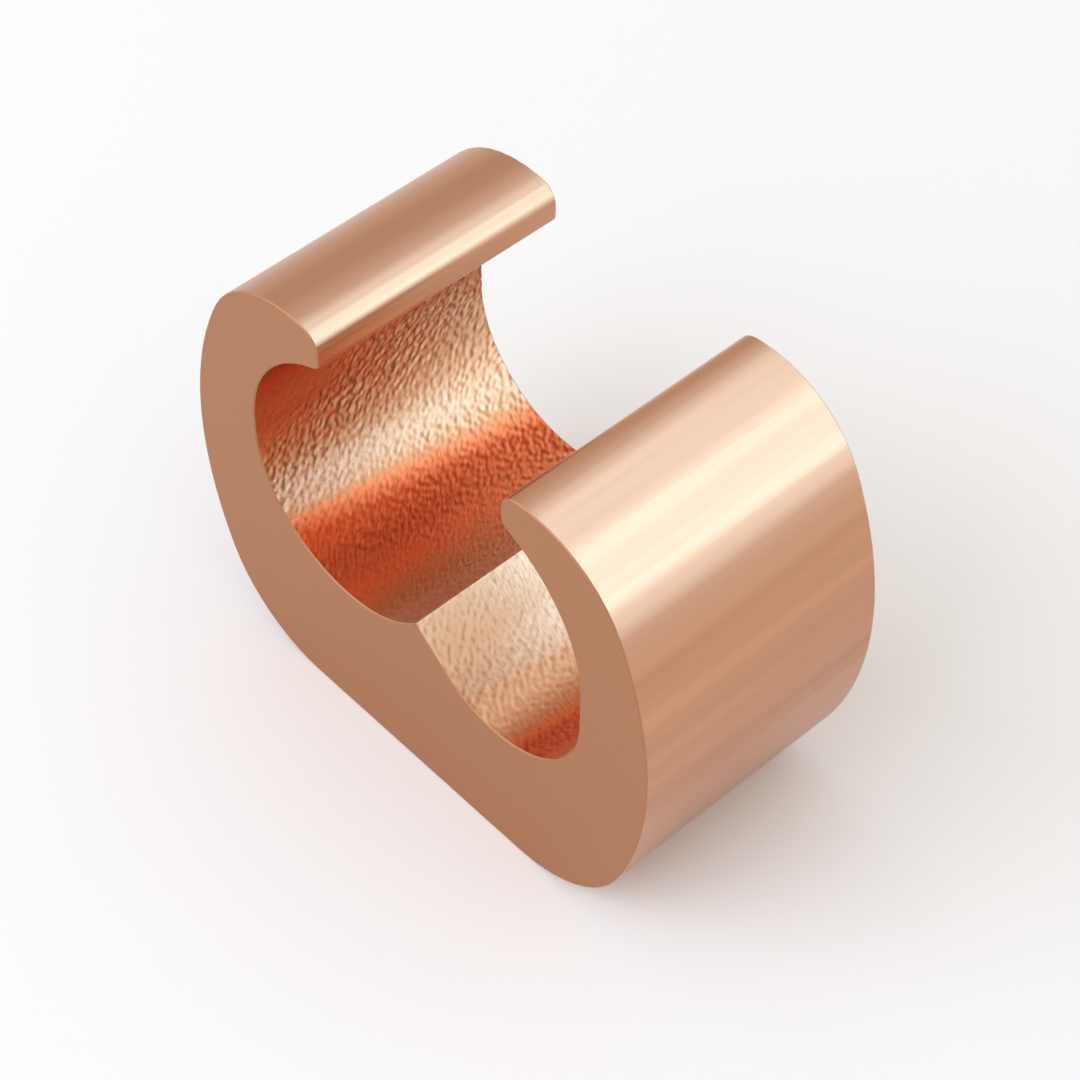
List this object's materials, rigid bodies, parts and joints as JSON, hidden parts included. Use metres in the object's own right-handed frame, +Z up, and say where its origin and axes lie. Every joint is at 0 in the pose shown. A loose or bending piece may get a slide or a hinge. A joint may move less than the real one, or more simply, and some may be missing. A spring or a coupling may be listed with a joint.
{
  "type": "c-type compression connector",
  "caption": "Short copper extrusion with a C section: round conductor seats side by side, a ridge between them and curled lips round a top mouth, crimped to join a tap cable to a run cable.",
  "frame": {"origin": "middle of the flat underside", "axes": "+X from the run seat to the tap seat, +Y along the conductors, +Z up through the mouth"},
  "size_m": [0.03, 0.014, 0.024],
  "materials": {
    "copper": "bare extruded copper, satin outside, grained in the seats, saw-cut ends"
  },
  "bodies": {
    "root": {"connector_body": "copper"}
  },
  "joints": []
}
